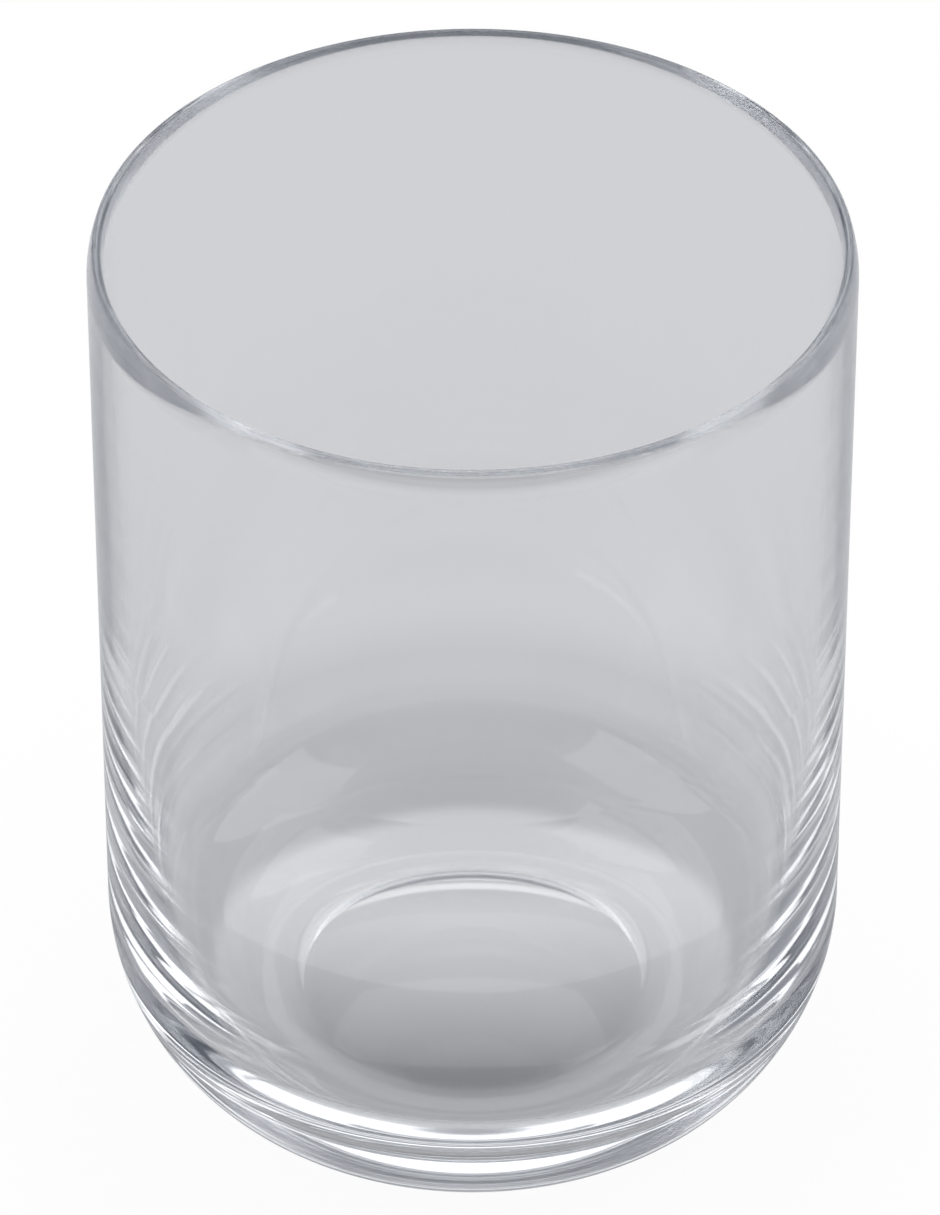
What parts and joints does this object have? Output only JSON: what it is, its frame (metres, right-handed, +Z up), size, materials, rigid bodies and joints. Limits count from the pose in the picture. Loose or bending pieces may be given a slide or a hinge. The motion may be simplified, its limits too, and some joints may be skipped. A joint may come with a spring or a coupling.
{
  "type": "cocktail glass",
  "caption": "Straight-sided cocktail tumbler of clear glass with a rounded rim, a rounded lower corner, a dished floor and a shallow hollow beneath.",
  "frame": {"origin": "centre of the face that the glass stands on", "axes": "+Z up along the axis of the glass, -Y towards the picture's viewer"},
  "size_m": [0.08, 0.08, 0.107],
  "materials": {
    "glass": "clear, fire-polished"
  },
  "bodies": {
    "root": {"tumbler": "glass"}
  },
  "joints": []
}
